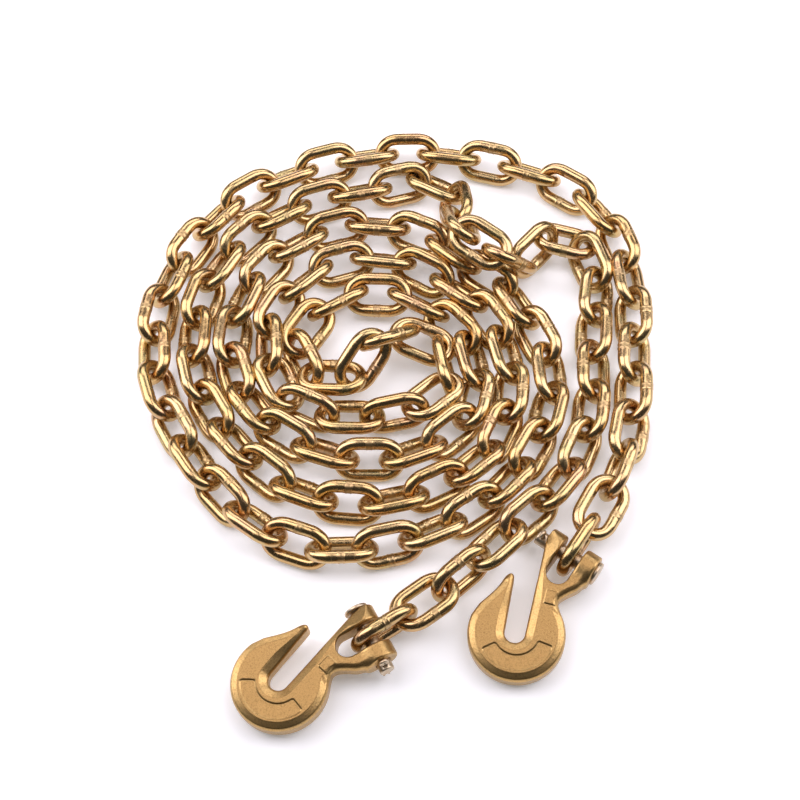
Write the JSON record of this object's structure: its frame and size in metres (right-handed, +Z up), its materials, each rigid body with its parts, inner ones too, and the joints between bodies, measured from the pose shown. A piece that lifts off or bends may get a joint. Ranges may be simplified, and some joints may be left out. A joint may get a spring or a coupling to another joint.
{
  "type": "transport binder chain",
  "caption": "Coiled welded-link binder chain with a clevis grab hook pinned to each end, for tying down loads.",
  "frame": {"origin": "under the middle of the whole laid chain, on the surface that it lies on", "axes": "+Z up from the surface (the thinnest way), +Y from the two hooks towards the back of the coil (the longest way), +X to the right"},
  "size_m": [0.3604, 0.4493, 0.051],
  "materials": {
    "chain": "bright yellow zinc chromate over welded steel links",
    "hook": "satin yellow zinc chromate over a forged surface",
    "pin": "pale yellow zinc over a turned pin and drawn wire"
  },
  "bodies": {
    "coil": {"inner_coil_links": "chain", "right_link_06": "chain", "right_link_07": "chain", "right_link_08": "chain", "right_link_09": "chain", "right_link_10": "chain", "right_link_11": "chain", "right_link_12": "chain", "right_link_13": "chain", "right_link_14": "chain", "right_link_15": "chain", "right_link_16": "chain", "right_link_17": "chain", "right_link_18": "chain", "right_link_19": "chain", "right_link_20": "chain", "right_link_21": "chain", "right_link_22": "chain", "right_link_23": "chain", "right_link_24": "chain", "right_link_25": "chain", "right_link_26": "chain", "right_link_27": "chain", "right_link_28": "chain", "right_link_29": "chain", "right_link_30": "chain", "right_link_31": "chain", "right_link_32": "chain", "right_link_33": "chain", "right_link_34": "chain", "right_link_35": "chain", "right_link_36": "chain", "right_link_37": "chain", "right_link_38": "chain", "right_link_39": "chain", "right_link_40": "chain", "left_link_08": "chain", "left_link_09": "chain", "left_link_10": "chain"},
    "right_link_05": {"right_link_05": "chain"},
    "right_link_04": {"right_link_04": "chain"},
    "right_link_03": {"right_link_03": "chain"},
    "right_link_02": {"right_link_02": "chain"},
    "right_link_01": {"right_link_01": "chain"},
    "right_hook": {"right_hook": "hook"},
    "right_pin": {"right_clevis_pin": "pin", "right_cotter_pin": "pin"},
    "left_link_07": {"left_link_07": "chain"},
    "left_link_06": {"left_link_06": "chain"},
    "left_link_05": {"left_link_05": "chain"},
    "left_link_04": {"left_link_04": "chain"},
    "left_link_03": {"left_link_03": "chain"},
    "left_link_02": {"left_link_02": "chain"},
    "left_link_01": {"left_link_01": "chain"},
    "left_hook": {"left_hook": "hook"},
    "left_pin": {"left_clevis_pin": "pin", "left_cotter_pin": "pin"}
  },
  "joints": [
    {"name": "right_link_05_swing", "type": "hinge", "parent": "coil", "child": "right_link_05", "pos_m": [0.16415, 0.02549, 0.01301], "axis": [-0.9954, 0.0957, 0], "range_deg": [0, 15]},
    {"name": "right_link_04_swing", "type": "hinge", "parent": "right_link_05", "child": "right_link_04", "pos_m": [0.16138, -0.00504, 0.01375], "axis": [-0.9748, 0.2233, 0], "range_deg": [0, 15]},
    {"name": "right_link_03_swing", "type": "hinge", "parent": "right_link_04", "child": "right_link_03", "pos_m": [0.1545, -0.03488, 0.01548], "axis": [-0.9262, 0.377, 0], "range_deg": [0, 15]},
    {"name": "right_link_02_swing", "type": "hinge", "parent": "right_link_03", "child": "right_link_02", "pos_m": [0.14295, -0.06333, 0.01645], "axis": [-0.864, 0.5036, 0], "range_deg": [0, 15]},
    {"name": "right_link_01_swing", "type": "hinge", "parent": "right_link_02", "child": "right_link_01", "pos_m": [0.12749, -0.08982, 0.01636], "axis": [-0.8339, 0.5518, 0], "range_deg": [0, 15]},
    {"name": "right_hook_swing", "type": "hinge", "parent": "right_link_01", "child": "right_hook", "pos_m": [0.113, -0.11155, 0.01635], "axis": [-0.8142, 0.5806, 0], "range_deg": [0, 75]},
    {"name": "right_pin_turn", "type": "hinge", "parent": "right_hook", "child": "right_pin", "pos_m": [0.113, -0.11155, 0.01635], "axis": [-0.8142, 0.5806, 0], "continuous": true},
    {"name": "left_link_07_swing", "type": "hinge", "parent": "coil", "child": "left_link_07", "pos_m": [0.13082, -0.01856, 0.01295], "axis": [-0.9125, 0.409, 0], "range_deg": [0, 15]},
    {"name": "left_link_06_swing", "type": "hinge", "parent": "left_link_07", "child": "left_link_06", "pos_m": [0.1182, -0.04666, 0.01287], "axis": [-0.7865, 0.6176, 0], "range_deg": [0, 15]},
    {"name": "left_link_05_swing", "type": "hinge", "parent": "left_link_06", "child": "left_link_05", "pos_m": [0.09924, -0.07091, 0.0132], "axis": [-0.6756, 0.7373, 0], "range_deg": [0, 15]},
    {"name": "left_link_04_swing", "type": "hinge", "parent": "left_link_05", "child": "left_link_04", "pos_m": [0.07648, -0.09142, 0.01486], "axis": [-0.696, 0.718, 0], "range_deg": [0, 15]},
    {"name": "left_link_03_swing", "type": "hinge", "parent": "left_link_04", "child": "left_link_03", "pos_m": [0.05459, -0.11283, 0.01599], "axis": [-0.6559, 0.7549, 0], "range_deg": [0, 15]},
    {"name": "left_link_02_swing", "type": "hinge", "parent": "left_link_03", "child": "left_link_02", "pos_m": [0.03139, -0.13293, 0.01638], "axis": [-0.5933, 0.805, 0], "range_deg": [0, 15]},
    {"name": "left_link_01_swing", "type": "hinge", "parent": "left_link_02", "child": "left_link_01", "pos_m": [0.00666, -0.15119, 0.01636], "axis": [-0.545, 0.8384, 0], "range_deg": [0, 15]},
    {"name": "left_hook_swing", "type": "hinge", "parent": "left_link_01", "child": "left_hook", "pos_m": [-0.01532, -0.16538, 0.01635], "axis": [-0.4544, 0.8908, 0], "range_deg": [0, 75]},
    {"name": "left_pin_turn", "type": "hinge", "parent": "left_hook", "child": "left_pin", "pos_m": [-0.01532, -0.16538, 0.01635], "axis": [-0.4544, 0.8908, 0], "continuous": true}
  ]
}
